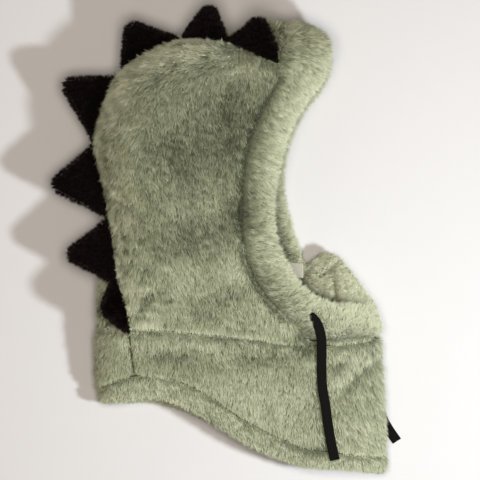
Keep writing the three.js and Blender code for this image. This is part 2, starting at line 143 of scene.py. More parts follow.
FACE_LINE = (
    (52.4, 143), (45.5, 130), (36, 114), (29, 101), (23.5, 86), (21, 70), (18.5, 47.5), (17, 21),
    (18, -1), (18.9, -13),
)
THREADS = (HEM_LINE, BACK_LINE, NECK_LINE, CHIN_LINE)
THREAD_STEP = 1.2 * MM
THREAD_WIDTH = 0.9 * MM
THREAD_HEIGHT = 1.0 * MM  # off the skin, up in the pile
THREAD_SIDES = 6
THREAD_EVENED = 5  # steps over which its height is evened out

# Sewn lines, creases and swells on the upper side of each piece, in millimetres: how deep and
# how wide they are (a swell has less than no depth), over what reach the pile beside them is
# shorter, how much painted shade they get (less than none is painted light), the height they lie
# at (or none) and their route.
CASING_ROWS = ((1.6, 1.9, 4.5, 0.75, None, CASING_LINE), (1.0, 2.6, 4, 0.5, None, FACE_LINE))
LINES = {
    # depth width reach dark level route
    "crown_right": (
        (-4.0, 9.0, 0, -0.08, None, ((54, -66), (64, -78), (72, -88))),
        (-4.0, 8.0, 0, -0.08, None, ((56, 190), (57, 158))),
        (-3.0, 6.0, 0, -0.1, None, ((15, 8), (18, -12), (25, -34), (37, -53), (52, -68))),
        (-3.0, 4.0, 0, 0, None, NECK_JOIN),
        (2.0, 1.8, 7, 0.45, None, NECK_LINE),
        (1.5, 1.8, 6, 0.45, None, CHIN_LINE),
        *CASING_ROWS,
        # painted light on a strip above the neck seam
        (0, 3.0, 0, -0.2, None, ((-80, -76), (-35, -77.6), (18, -83), (45, -86))),
    ),
    "neck_cape": (
        (2.0, 1.8, 7, 0.3, None, HEM_LINE),
        (1.6, 1.5, 6, 0.3, None, BACK_LINE),
        (-3.0, 4.0, 0, 0, None, NECK_JOIN),
        (-2.5, 3.0, 0, -0.1, None, ((104, -88), (118, -87), (150, -83))),
        (-1.0, 2.5, 0, 0, None, ((70, -90), (104, -89))),
        # painted shadow of the cord, on its left
        (0, 3.5, 0, 0.35, None, ((85, -98), (84, -120), (86.7, -146), (91, -172.5), (95.5, -187.4))),
        (2.6, 1.8, 8, 0.55, None, CHIN_LINE),
        # painted light on a strip above the hem
        (0, 3.0, 0, -0.14, None, ((110.4, -187), (148, -188.5))),
        (3.0, 5.0, 0, 0.3, None, ((139.5, -104), (125, -115), (112, -130))),
        (-2.0, 6.0, 0, -0.12, None, ((142, -96), (125, -104), (104, -122))),
        (2.0, 3.5, 0, 0.3, None, ((108.7, -106.5), (99.9, -111.8))),
    ),
    "face_band": (
        *CASING_ROWS,
        (-4.0, 8.0, 0, -0.08, None, ((57, 190), (58, 158))),
        (-3.5, 4.0, 0, -0.15, None, ((102, -84), (118, -82), (150, -78))),
        (-1.0, 2.5, 0, 0, None, ((70, -89), (104, -86))),
        # a swell with painted light on it
        (-8.0, 13.0, 0, -0.45, 22, ((84, -40), (98, -44), (112, -46))),
        # painted shadow of the near rim on the far lobe
        (0, 3.5, 0, 0.3, 27, ((72, -40), (88, -52), (108, -56), (126, -56), (138, -52))),
        (2.5, 2.2, 5, 0.35, 26, ((74.4, -31.7), (86.7, -32.6), (95.5, -27.3), (102.5, -20.2))),
        (3.0, 2.6, 4, 0.4, 26, ((98.1, -38), (100.5, -54))),
    ),
}
LEVEL_REACH = 12.0  # how far above and below its height such a line fades out
SHORTEST = 0.2  # share of its length that the pile keeps on a line
UPPER_SIDE = 3  # a line is full where the skin's upward share is over a third

# Soft skin under the pile
SKIN_LEVELS = 2
SAME_POINT = 0.00001
FLAT_ENOUGH = math.radians(50)  # triangles that meet flatter than this become one square
SQUARE_ENOUGH = math.radians(60)
RESTING = 1.2 * MM  # the skin lies this high on its flattened pile
UNDERSIDE = 2.5 * RESTING  # what lies lower than this and faces down is on the table
SPIKE_INSET = 2.4 * MM  # a spike's skin lies this deep, so that its pile comes out at the solid

# How much longer each spike's base is than its solid's: towards the neck and towards the face, in
# millimetres. The spikes are sewn into the spine in one row and meet there.
LONGER_BASES = {
    "spike_1": (2.0, 6.0),
    "spike_2": (6.0, 6.0),
    "spike_3": (6.0, 4.5),
    "spike_4": (4.5, 1.5),
    "spike_5": (1.5, 4.0),
    "spike_6": (3.0, 5.0),
    "spike_7": (5.0, 0.0),
}
BASE_REACH = 10 * MM  # the height over which a base's extra length fades

# The label's middle, and the rounding of its edges
LABEL_MIDDLE = (67, -27, 17)  # millimetres
LABEL_EDGE = 0.35 * MM

# Tone of each piece's pile, 0 dark to 1 light, partly its own and partly painted light and shade, and
# patches where the pile is brushed lighter or darker or has painted light and shade on it:
# middle and half-lengths in millimetres, turn in degrees, and change of tone.
TONES = {"crown_right": 0.46, "crown_left": 0.5, "neck_cape": 0.6, "face_band": 0.55}
SPIKE_TONE = 0.45
SPIKE_LEAN = 0.3  # how far a spike's pile leans to its tip
SPIKE_SHORT = 0.4  # share of its length that the pile keeps at a spike's base
SPIKE_SHORT_REACH = 5 * MM
BRUSHED_AND_PAINTED_LIGHT = (
    #  x    y  along across turn change
    (-8, 92, 34, 15, 62, -0.12),
    (-22, 100, 50, 24, 40, -0.3),
    (7, 70, 50, 13, 88, -0.26),
    (14, 118, 17, 15, 0, -0.2),
    (-26, 4, 34, 20, 0, -0.4),
    (-33, 65, 24, 24, 0, -0.3),
    (24, 96, 12, 26, -20, -0.3),
    (17, 25, 12, 20, 0, -0.35),
    (-10, -61, 16, 10, 0, -0.16),
    (-35, 163, 44, 15, 8, 0.42),
    (20, 150, 26, 9, -10, 0.35),
    (-89, 135, 36, 11, 60, 0.42),
    (-89, 6, 20, 8, 90, 0.28),
    (11, -25, 14, 10, 0, 0.28),
    (9, -48, 26, 9, 20, -0.26),
    (-63, -61, 16, 12, 0, 0.2),
    (46, 147, 22, 13, 60, -0.28),
    (-46, -100, 22, 8, 5, -0.45),
    (-8, -108, 40, 13, 0, -0.24),
    (40, -100, 24, 8, -4, -0.42),
    (76, -92, 11, 10, 0, -0.6),
    (84, -184, 13, 6, -15, -0.5),
    (-95, -105, 20, 18, 0, -0.15),
    (127, -140, 24, 35, 0, -0.12),
    (84, -142, 26, 30, 0, -0.14),
    (-46, -140, 24, 8, -15, 0.22),
    (118, -71, 30, 13, 0, 0.22),
    (97, -24, 30, 24, -35, 0.9),
    (65, -15, 9, 5, 0, -0.6),
)
MOTTLE = 0.1  # how much the tone wanders, and how many noise waves to the metre it has
MOTTLE_WAVES = 55

# Coats of pile: strands on the part, their length, width and lift off the skin, and how much
# the tufts differ in tone
COATS = {
    #                strands length      width       lift tufts
    "crown_right": (92000, 7.5 * MM, 0.55 * MM, 0.5, 1.2),
    "crown_left": (26000, 7.5 * MM, 0.7 * MM, 0.5, 1.2),
    "neck_cape": (92000, 7.5 * MM, 0.55 * MM, 0.5, 1.1),
    "face_band": (92000, 6.8 * MM, 0.5 * MM, 0.6, 0.8),
    "spike": (8500, 4.6 * MM, 0.45 * MM, 1.3, 1.2),
}
COAT_INPUTS = ("Length", "Width", "Lift", "Tuft tone")
PILE_INPUTS = (
    ("Geometry", "Geometry", None),
    ("Density", "Float", 1000.0),
    ("Length", "Float", 0.007),
    ("Width", "Float", 0.0005),
    ("Lift", "Float", 0.5),
    ("Tufts", "Float", 300.0),
    ("Tuft lean", "Float", 2.0),
    ("Tuft tone", "Float", 1.2),
    ("Stray", "Float", 0.3),
    ("Facing", "Float", 0.7),
    ("Seed", "Int", 1),
    ("Finish", "Material", None),
)
FIRST_SEED = 8
PILE_FLOOR = 0.15 * MM  # no strand goes lower
RIPPLE = (0.6, 1.2, 1.0)  # the tufts are longer across the nap than along it
WIDTHS = (0.7, 1.25)  # how single strands vary, as LENGTHS and STRAND_TONES do
LENGTHS = (0.6, 1.25)
STRAND_TONES = (-0.3, 0.3)
FACED_UP = (0, 0, 0.8)  # turns the strands' broad side upwards
SWIRL = 0.5  # how far hands turned the nap, and how many noise waves to the metre it has
SWIRL_WAVES = 28
SHORTEST_TRIM = 0.03

# Where two spikes flatten the pile of the far half between them, in millimetres
BETWEEN_SPIKES = ((-2, 180), (18, 182))

# By the spine the pile runs round this place from the forehead to the back of the head, and lies
# in wavy locks: a little painted light over them, their change of tone and how many noise waves to the
# metre they have.
CROWN_MIDDLE = (-10 * MM, 60 * MM)
FOREHEAD = (-20, 30)  # millimetres along x over which that fades out
LOCK_PAINTED_LIGHT = 0.03
LOCK_TONE = 1.2
LOCK_WAVES = np.array((70, 250, 70))

# Across the casing, how far from its seam a band of painted shade lies, and the folded edge past the
# hem's stitches
CASING_ACROSS = 26 * MM
CASING_SHADE_BAND = 14 * MM
HEM_EDGE = 12 * MM

# The far end of the casing, which shows past the near rim: a pile denser, shorter and flatter
LOBE_HEIGHT = 45 * MM
LOBE_START = 60 * MM
LOBE_TOP = 10 * MM
LOBE_DENSER = 1.8
LOBE_SHORTER = 0.75
LOBE_FLATTER = 0.3

# Pile beside and under the cord, and around the label, in millimetres: how near it is shortest,
# over what reach it gets longer, and the share of its length that it keeps
CORD_PRESS = (3.8, 5, 0.05)
LABEL_PRESS = (10, 6, 0.25)
FLAT_ON_TABLE = 0.1  # share of its lift that the pile under the hood keeps

# How much pile a face has: flattened under the hood, shut in, seen from a side only, or open
PRESSED = 0.15
SHUT_IN = 0.08
FROM_SIDE = 0.5
OPEN = 1.0
LOOK_START = 2.5  # millimetres off a face where a look at it starts
LOOK_SLOPE = 0.5
LOOKS = [Vector((0, 0, 1))]
for turn in range(0, 360, 45):
    level = (math.cos(math.radians(turn)), math.sin(math.radians(turn)))
    LOOKS.append(Vector((*level, LOOK_SLOPE)).normalized())

CLOTH = ("crown_right", "crown_left", "neck_cape", "face_band")
SPIKES = tuple(f"spike_{i}" for i in range(1, 8))
DOWN = np.array([0.0, -1.0, 0.0])


def colour(screen, share=1.0):
    """A screen colour, darkened to a share, as Blender's linear red, green, blue and alpha."""
    values = [value / 255 for value in screen]
    linear = [v / 12.92 if v <= 0.04045 else ((v + 0.055) / 1.055) ** 2.4 for v in values]
    return (*(share * v for v in linear), 1.0)


def unit(ways):
    """Ways, one to a row, at length one."""
    return ways / np.maximum(np.linalg.norm(ways, axis=-1, keepdims=True), 1e-12)


def between(rows, place):
    """A table's row at any place between its rows, on a smooth curve through them."""
    rows = np.asarray(rows, float)
    last = len(rows) - 1
    i = min(max(int(math.floor(place)), 0), last - 1)
    t = place - i
    before, start, end, after = (rows[min(max(n, 0), last)] for n in (i - 1, i, i + 1, i + 2))
    return (
        (2 * t**3 - 3 * t**2 + 1) * start
        + (t**3 - 2 * t**2 + t) * (end - before) / 2
        + (3 * t**2 - 2 * t**3) * end
        + (t**3 - t**2) * (after - start) / 2
    )


# Nodes


def put(tree, socket, value):
    """Links a socket into another, or sets that one to a plain value."""
    if isinstance(value, bpy.types.NodeSocket):
        tree.links.new(value, socket)
    else:
        socket.default_value = value


def new_node(tree, kind, inputs, **settings):
    """A new node with its settings, and with its inputs put in."""
    made = tree.nodes.new(kind)
    for key, value in settings.items():
        setattr(made, key, value)
    for key, value in inputs.items():
        put(tree, made.inputs[key], value)
    return made


def maths(tree, operation, *values, clamp=False):
    """A Math node whose inputs are sockets or numbers. Gives its output."""
    inputs = dict(enumerate(values))
    return new_node(tree, "ShaderNodeMath", inputs, operation=operation, use_clamp=clamp).outputs[0]


def vectors(tree, operation, *values, **inputs):
    """A Vector Math node whose inputs are sockets or values. Gives its vector output."""
    inputs.update(enumerate(values))
    return new_node(tree, "ShaderNodeVectorMath", inputs, operation=operation).outputs["Vector"]


def apart(tree, vector):
    """A vector's X, Y and Z."""
    return new_node(tree, "ShaderNodeSeparateXYZ", {"Vector": vector}).outputs


def together(tree, x, y, z):
    """A vector of three numbers."""
    return new_node(tree, "ShaderNodeCombineXYZ", {"X": x, "Y": y, "Z": z}).outputs["Vector"]


# Materials


def group(name, inputs, outputs):
    """A new shader group with the sockets named, and those sockets from inside it."""
    tree = bpy.data.node_groups.new(name, "ShaderNodeTree")
    for socket, kind, value in inputs:
        made = tree.interface.new_socket(socket, in_out="INPUT", socket_type="NodeSocket" + kind)
        made.default_value = value
    for socket, kind in outputs:
        tree.interface.new_socket(socket, in_out="OUTPUT", socket_type="NodeSocket" + kind)
    given = tree.nodes.new("NodeGroupInput").outputs
    return tree, given, tree.nodes.new("NodeGroupOutput").inputs


def mixed(tree, blend, amount, first, second):
    """A colour Mix node whose inputs are sockets or values. Gives its output."""
    made = new_node(tree, "ShaderNodeMix", {}, data_type="RGBA", blend_type=blend)
    sockets = {s.identifier: s for s in made.inputs}
    for key, value in (("Factor_Float", amount), ("A_Color", first), ("B_Color", second)):
        put(tree, sockets[key], value)
    return next(s for s in made.outputs if s.identifier == "Result_Color")


def speckle(tree, coordinates, scale, detail=2.0, roughness=0.5):
    """A noise texture's grey value over the given coordinates."""
    inputs = {"Vector": coordinates, "Scale": scale, "Detail": detail, "Roughness": roughness}
    return new_node(tree, "ShaderNodeTexNoise", inputs).outputs["Fac"]


def strand_colour_group():
    """Colour of a strand of pile from its tone, 0 dark to 1 light, and its way from root to tip."""
    tree, given, result = group(
        "Strand colour",
        [
            ("Tone", "Float", 0.5),
            ("Tip", "Float", 1.0),
            *((shade, "Color", NO_COLOUR) for shade in SHADES),
            ("Root shade", "Float", 0.5),
        ],
        [("Colour", "Color")],
    )
    lower = maths(tree, "MULTIPLY", given["Tone"], 2.0, clamp=True)
    upper = maths(tree, "MULTIPLY_ADD", given["Tone"], 2.0, -1.0, clamp=True)
    body = mixed(tree, "MIX", lower, given["Dark"], given["Middle"])
    body = mixed(tree, "MIX", upper, body, given["Light"])
    shade = given["Root shade"]
    grey = new_node(tree, "ShaderNodeCombineColor", {"Red": shade, "Green": shade, "Blue": shade})
    root = mixed(tree, "MULTIPLY", 1.0, body, grey.outputs["Color"])
    put(tree, result["Colour"], mixed(tree, "MIX", given["Tip"], root, body))
    return tree


def fleece_group():
    """Short knitted backing: mottled colour and a bump height over object coordinates."""
    tree, given, result = group(
        "Fleece backing",
        [
            ("Vector", "Vector", (0, 0, 0)),
            ("Colour", "Color", NO_COLOUR),
            ("Shaded", "Color", NO_COLOUR),
            ("Loops", "Float", 900.0),
        ],
        [("Colour", "Color"), ("Height", "Float")],
    )
    fine = speckle(tree, given["Vector"], scale=given["Loops"], detail=3.0, roughness=0.7)
    broad = speckle(tree, given["Vector"], scale=60.0)
    mottle = maths(tree, "MULTIPLY", fine, broad)
    mottle = maths(tree, "MULTIPLY", mottle, BACKING_CONTRAST, clamp=True)
    put(tree, result["Colour"], mixed(tree, "MIX", mottle, given["Shaded"], given["Colour"]))
    put(tree, result["Height"], fine)
    return tree


def material(name, roughness, specular, sheen=0.0):
    """A new node material and its Principled shader."""
    made = bpy.data.materials.new(name)
    made.use_nodes = True
    shader = made.node_tree.nodes["Principled BSDF"]
    looks = {"Roughness": roughness, "Specular IOR Level": specular, "Sheen Weight": sheen}
    for key, value in looks.items():
        shader.inputs[key].default_value = value
    return made, made.node_tree, shader


def tinted(tree, shader, amount, low, high):
    """Colours a shader between two colours by an amount that changes over the surface."""
    put(tree, shader.inputs["Base Color"], mixed(tree, "MIX", amount, low, high))


def bumped(tree, shader, height, distance):
    """Raises a shader's surface by a height value."""
    bump = new_node(tree, "ShaderNodeBump", {"Distance": distance, "Height": height})
    put(tree, shader.inputs["Normal"], bump.outputs["Normal"])


def attribute(tree, name):
    """A mesh attribute's value in a material."""
    return new_node(tree, "ShaderNodeAttribute", {}, attribute_name=name).outputs["Fac"]


def object_coordinates(tree):
    """Places on the piece itself, in metres."""
    return tree.nodes.new("ShaderNodeTexCoord").outputs["Object"]


def pile_material(name, group_tree, colours, root_shade, roughness, specular, sheen):
    """Strands of pile in three colours, with shaded roots."""
    made, tree, shader = material(name, roughness, specular, sheen)
    inputs = {shade: colour(screen) for shade, screen in zip(SHADES, colours)}
    inputs["Root shade"] = root_shade
    inputs["Tone"] = attribute(tree, "tone")
    inputs["Tip"] = attribute(tree, "tip")
    strand = new_node(tree, "ShaderNodeGroup", inputs, node_tree=group_tree)
    put(tree, shader.inputs["Base Color"], strand.outputs["Colour"])
    return made


def backing_material(name, group_tree, tint, shaded):
    """Knitted backing under the pile, given a colour darker than the pile's as painted shade down
    among the strands.
    """
    made, tree, shader = material(name, roughness=0.95, specular=0.1)
    inputs = {"Colour": colour(tint), "Shaded": colour(shaded), "Vector": object_coordinates(tree)}
    backing = new_node(tree, "ShaderNodeGroup", inputs, node_tree=group_tree)
    put(tree, shader.inputs["Base Color"], backing.outputs["Colour"])
    bumped(tree, shader, backing.outputs["Height"], distance=0.8 * MM)
    return made


def braid_material():
    """Flat black braid: slanting ribs that meet in the middle, with rubbed crests."""
    made, tree, shader = material("Black braid", roughness=0.8, specular=0.12)
    place = apart(tree, new_node(tree, "ShaderNodeUVMap", {}, uv_map="Braid").outputs["UV"])
    off_middle = maths(tree, "ABSOLUTE", maths(tree, "SUBTRACT", place["X"], 0.5))
    ribs = maths(tree, "MULTIPLY", place["Y"], BRAID_RIBS)
    slanted = maths(tree, "MULTIPLY_ADD", off_middle, BRAID_SLANT, ribs)
    wave = maths(tree, "SINE", maths(tree, "MULTIPLY", slanted, math.pi))
    crest = maths(tree, "MULTIPLY_ADD", wave, 0.5, 0.5)
    worn = speckle(tree, object_coordinates(tree), scale=700.0, detail=3.0)
    rubbed = maths(tree, "MULTIPLY", crest, worn)
    tinted(tree, shader, rubbed, colour(CORD_BLACK), colour(CORD_WORN))
    bumped(tree, shader, crest, distance=0.25 * MM)
    return made


def label_material():
    """Cream woven tape: fine threads both ways."""
    made, tree, shader = material("Cream tape", roughness=0.75, specular=0.25)
    place = apart(tree, object_coordinates(tree))
    threads = []
    for axis in ("X", "Y"):
        turned = maths(tree, "MULTIPLY", place[axis], 2 * math.pi / TAPE_THREAD)
        threads.append(maths(tree, "SINE", turned))
    weave = maths(tree, "MULTIPLY", *threads)
    blotch = speckle(tree, object_coordinates(tree), scale=300.0)
    tinted(tree, shader, blotch, colour(LABEL_CREAM, share=0.93), colour(LABEL_CREAM))
    bumped(tree, shader, weave, distance=0.12 * MM)
    return made


def shadowed_thread_material():
    """Sewing thread, dark with the painted shadow of the seams' furrows: dull, with a twist."""
    made, tree, shader = material("Sage thread, painted shadow", roughness=0.8, specular=0.15)
    twist = speckle(tree, object_coordinates(tree), scale=900.0)
    tinted(tree, shader, twist, colour(SAGE_THREAD_SHADOW, share=0.6), colour(SAGE_THREAD_SHADOW))
    return made


def floor_material():
    """Matt pale paper."""
    made, tree, shader = material("Pale paper", roughness=0.9, specular=0.1)
    grain = speckle(tree, object_coordinates(tree), scale=40.0, detail=4.0)
    tinted(tree, shader, grain, colour(FLOOR_PALE, share=0.985), colour(FLOOR_PALE))
    return made


strand_colour = strand_colour_group()
fleece = fleece_group()
SAGE_PILE = pile_material(
    "Sage pile", strand_colour, (SAGE_DARK, SAGE_MIDDLE, SAGE_LIGHT),
    root_shade=0.55, roughness=0.75, specular=0.2, sheen=0.25,
)
BLACK_PILE = pile_material(
    "Black pile", strand_colour, (BLACK_DARK, BLACK_MIDDLE, BLACK_LIGHT),
    root_shade=0.6, roughness=0.85, specular=0.1, sheen=0.0,
)
SAGE_SHADED_BACKING = backing_material("Sage backing, painted shade", fleece, SAGE_BACKING_SHADE, SAGE_DARK)
BLACK_CLOTH = backing_material("Black backing", fleece, BLACK_BACKING, BLACK_DARK)
BRAID = braid_material()
TAPE = label_material()
SHADOWED_THREAD = shadowed_thread_material()


# Pieces and meshes


def linked(name, data):
    """A new object in the scene."""
    made = bpy.data.objects.new(name, data)
    bpy.context.scene.collection.objects.link(made)
    return made


def applied(carrier):
    """The plain mesh that a carrier's modifiers make. They and the carrier are then removed."""
    graph = bpy.context.evaluated_depsgraph_get()
    mesh = bpy.data.meshes.new_from_object(carrier.evaluated_get(graph))
    carrier.modifiers.clear()
    bpy.data.objects.remove(carrier)
    return mesh


def piece_of(name, mesh, finish, replaced=()):
    """Links a mesh as a piece of the hood, with its finish and the solids it stands for."""
    piece = linked(name, mesh)
    mesh.materials.clear()
    mesh.materials.append(finish)
    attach(piece, BODY)
    if replaced:
        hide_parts(*replaced)
    return piece


def places(mesh):
    """A mesh's points and normals as arrays."""
    points = np.zeros(len(mesh.vertices) * 3)
    mesh.vertices.foreach_get("co", points)
    normals = np.zeros(len(mesh.vertices) * 3, np.float32)
    mesh.vertex_normals.foreach_get("vector", normals)
    return points.reshape(-1, 3), normals.reshape(-1, 3).astype(float)


def moved(mesh, points):
    """Puts a mesh's points at new places."""
    mesh.vertices.foreach_set("co", points.ravel())
    mesh.update()


def store(mesh, name, values, domain="POINT"):
    """Keeps numbers or vectors on a mesh under a name."""
    values = np.asarray(values, np.float32)
    kind, key = ("FLOAT", "value") if values.ndim == 1 else ("FLOAT_VECTOR", "vector")
    mesh.attributes.new(name, kind, domain).data.foreach_set(key, values.ravel())


def recalculated(mesh):
    """Makes a closed mesh's faces point outwards."""
    work = bmesh.new()
    work.from_mesh(mesh)
    bmesh.ops.recalc_face_normals(work, faces=work.faces)
    work.to_mesh(mesh)
    work.free()


def ring(middle, along, up, half_width, half_height, sides, squareness=1.0):
    """Points round a tube's middle, on an oval or pushed out towards a square."""
    side = unit(np.cross(up, along))
    high = np.cross(along, side)
    points = []
    for k in range(sides):
        turn = 2 * math.pi * k / sides
        shares = (math.cos(turn), math.sin(turn))
        across, rise = (math.copysign(abs(share) ** squareness, share) for share in shares)
        points.append(tuple(middle + side * across * half_width + high * rise * half_height))
    return points


def tube_faces(start, rings, sides):
    """Faces of a closed tube whose rings of points follow one another from a start."""
    faces = []
    last = start + (rings - 1) * sides
    for low in range(start, last, sides):
        for k in range(sides):
            after = (k + 1) % sides
            faces.append((low + k, low + after, low + sides + after, low + sides + k))
    faces.append(tuple(reversed(range(start, start + sides))))
    faces.append(tuple(range(last, last + sides)))
    return faces


# Cords


def cord_piece(name, node, route):
    """A flat cord swept along its route."""
    middles = []
    vertices = []
    for step in range(CORD_POINTS + 1):
        place = step / CORD_POINTS * (len(route) - 1)
        here = between(route, place)
        along = unit(between(route, place + 0.01)[:3] - between(route, place - 0.01)[:3])
        middle = here[:3] * MM
        middles.append(middle)
        spread = min(place / CORD_GATHERED, 1.0)
        half = (CORD_GATHER + (1 - CORD_GATHER) * math.sin(spread * math.pi / 2)) * CORD_WIDTH / 2
        lean = (here[3], here[4], 1.0)
        vertices += ring(middle, along, lean, half, CORD_THICK / 2, CORD_SIDES, CORD_SQUARENESS)
    mesh = bpy.data.meshes.new(name)
    mesh.from_pydata(vertices, [], tube_faces(0, CORD_POINTS + 1, CORD_SIDES))
    steps = np.linalg.norm(np.diff(middles, axis=0), axis=1)
    travelled = np.concatenate([[0], np.cumsum(steps)])
    layer = mesh.uv_layers.new(name="Braid")
    for loop in mesh.loops:
        step, k = divmod(loop.vertex_index, CORD_SIDES)
        across = 0.5 + 0.5 * math.cos(2 * math.pi * k / CORD_SIDES)
        layer.data[loop.index].uv = (across, travelled[step])
    for polygon in mesh.polygons:
        polygon.use_smooth = len(polygon.vertices) == 4
    recalculated(mesh)
    piece = piece_of(name, mesh, BRAID, [node])


# Soft skins


def skin_mesh(name):
    """A smooth mesh on a soft solid's form."""
    work = bmesh.new()
    work.from_mesh(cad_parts[name].data)
    bmesh.ops.remove_doubles(work, verts=work.verts, dist=SAME_POINT)
    bmesh.ops.join_triangles(
        work,
        faces=work.faces,
        angle_face_threshold=FLAT_ENOUGH,
        angle_shape_threshold=SQUARE_ENOUGH,
    )
    work.verts.ensure_lookup_table()
    points = [tuple(v.co) for v in work.verts]
    faces = [tuple(v.index for v in face.verts) for face in work.faces]
    work.free()
    mesh = bpy.data.meshes.new(name + "_form")
    mesh.from_pydata(points, [], faces)
    carrier = linked(name + "_form", mesh)
    rounding = carrier.modifiers.new("Rounding", "SUBSURF")
    rounding.levels = SKIN_LEVELS
    rounding.render_levels = SKIN_LEVELS
    smooth = applied(carrier)
    smooth.name = name + "_skin"
    smooth.shade_smooth()
    return smooth


def rested(mesh, inset):
    """Lays a skin on its own flattened pile instead of on the table, some way inside its solid."""
    points, normals = places(mesh)
    points -= inset * normals
    points[:, 2] = np.maximum(points[:, 2], RESTING)
    moved(mesh, points)


def from_lines(points, route):
    """How far points are from a route in the table's plane."""
    route = np.asarray(route, float) * MM
    best = np.full(len(points), np.inf)
    for start, end in zip(route[:-1], route[1:]):
        way = end - start
        share = np.clip((points[:, :2] - start) @ way / (way @ way), 0, 1)
        gap = points[:, :2] - start - share[:, None] * way
        best = np.minimum(best, np.linalg.norm(gap, axis=1))
    return best


def sewn(mesh, lines):
    """Sinks lines into a skin's upper side. Gives the pile's trim and its painted shade and light at
    each point.
    """
    points, normals = places(mesh)
    upper = np.clip(normals[:, 2] * UPPER_SIDE, 0, 1)
    trim = np.ones(len(points))
    shade = np.zeros(len(points))
    for depth, width, reach, dark, level, route in lines:
        there = upper
        if level is not None:
            there = upper * np.exp(-(((points[:, 2] / MM - level) / LEVEL_REACH) ** 2))
        far = from_lines(points, route) / MM
        share = np.exp(-((far / width) ** 2)) * there
        points -= normals * (depth * MM * share)[:, None]
        shade -= dark * share
        if reach:
            trim *= 1 - (1 - SHORTEST) * np.clip(1 - far / reach, 0, 1) * there
    moved(mesh, points)
    return trim, shade


def tree_of(mesh):
    """A search tree of a mesh's points."""
    points, _ = places(mesh)
    tree = KDTree(len(points))
    for i, point in enumerate(points):
        tree.insert(point, i)
    tree.balance()
    return tree


def away_from(points, tree):
    """The way from the nearest point of a tree to each point, at length one, and how far it is."""
    found = [tree.find(point) for point in points]
    gaps = points - np.array([tuple(place) for place, _, _ in found])
    return unit(gaps), np.array([far for _, _, far in found])


def from_crown(points, trees):
    """The way from the nearer half of the crown to each point, and how far it is."""
    away, far = away_from(points, trees["crown_right"])
    away_left, far_left = away_from(points, trees["crown_left"])
    return np.where((far <= far_left)[:, None], away, away_left), np.minimum(far, far_left)


def lengthened(mesh, trees, to_neck, to_face):
    """Lengthens a spike's base along the spine at both its ends."""
    points, _ = places(mesh)
    _, far = from_crown(points, trees)
    base = points[far < BASE_REACH]
    middle = base.mean(0)
    along = np.linalg.svd(base - middle, full_matrices=False)[2][0]
    faceward = np.array((middle[1], -middle[0], 0)) if middle[1] > 0 else -DOWN
    along *= np.sign(along @ faceward)
    share = (points - middle) @ along
    share /= abs(share).max()
    more = np.where(share > 0, to_face, to_neck) * MM
    points += along * (share * more * np.exp(-((far / BASE_REACH) ** 2)))[:, None]
    moved(mesh, points)


def whole_tree(skins):
    """All skins in one tree to look and measure against."""
    all_points = []
    all_faces = []
    for skin in skins:
        start = len(all_points)
        points, _ = places(skin)
        all_points += [tuple(p) for p in points]
        all_faces += [tuple(start + i for i in polygon.vertices) for polygon in skin.polygons]
    return BVHTree.FromPolygons(all_points, all_faces)


def openness(mesh, everything):
    """How much each face shows: 1 from above, less from the sides only, least when shut in."""
    shares = np.zeros(len(mesh.polygons), np.float32)
    for polygon in mesh.polygons:
        start = polygon.center + polygon.normal * LOOK_START * MM
        if polygon.normal.z < -0.5 and polygon.center.z < UNDERSIDE:
            shares[polygon.index] = PRESSED
            continue
        shares[polygon.index] = SHUT_IN
        for rank, look in enumerate(LOOKS):
            if polygon.normal.dot(look) > -0.3 and everything.ray_cast(start, look)[0] is None:
                shares[polygon.index] = FROM_SIDE if rank else OPEN
                break
    return shares


# Pile by Geometry Nodes


def kept(tree, name, kind="FLOAT"):
    """A named attribute's value in a Geometry Nodes tree."""
    made = new_node(tree, "GeometryNodeInputNamedAttribute", {"Name": name}, data_type=kind)
    return made.outputs["Attribute"]


def stored(tree, geometry, name, value):
    """Keeps a value at each point under a name. Gives the geometry."""
    inputs = {"Name": name, "Geometry": geometry, "Value": value}
    kind = "GeometryNodeStoreNamedAttribute"
    return new_node(tree, kind, inputs, data_type="FLOAT", domain="POINT").outputs["Geometry"]


def chance(tree, low, high, seed, kind="FLOAT"):
    """A random number or vector for each point."""
    made = new_node(tree, "FunctionNodeRandomValue", {"Seed": seed}, data_type=kind)
    ends = [s for s in made.inputs if s.enabled and s.name in ("Min", "Max")]
    ends[0].default_value = low
    ends[1].default_value = high
    return next(s for s in made.outputs if s.enabled)


def chance_way(tree, seed, size):
    """A random way for each point, up to a size to each side."""
    way = chance(tree, (-1, -1, -1), (1, 1, 1), seed, "FLOAT_VECTOR")
    return vectors(tree, "SCALE", way, Scale=size)


def position(tree):
    """The place of each point."""
    return tree.nodes.new("GeometryNodeInputPosition").outputs["Position"]


def strand_way(tree, given, normal, tuft):
    """Each strand's turn: along the nap, lifted, gathered in its tuft and astray."""
    gather = vectors(tree, "SUBTRACT", tuft["Color"], (0.5, 0.5, 0.5))
    lift = maths(tree, "MULTIPLY", given["Lift"], kept(tree, "stand"))
    way = vectors(tree, "SCALE", normal, Scale=lift)
    for more in (
        kept(tree, "nap", "FLOAT_VECTOR"),
        vectors(tree, "SCALE", gather, Scale=given["Tuft lean"]),
        chance_way(tree, given["Seed"], given["Stray"]),
    ):
        way = vectors(tree, "ADD", way, more)
    kind = "FunctionNodeAlignRotationToVector"
    turned = new_node(tree, kind, {"Vector": way}, axis="Z").outputs["Rotation"]
    upward = vectors(tree, "ADD", normal, FACED_UP)
    upward = vectors(tree, "ADD", upward, chance_way(tree, given["Seed"], given["Facing"]))
    inputs = {"Rotation": turned, "Vector": upward}
    return new_node(tree, kind, inputs, axis="Y", pivot_axis="Z").outputs["Rotation"]


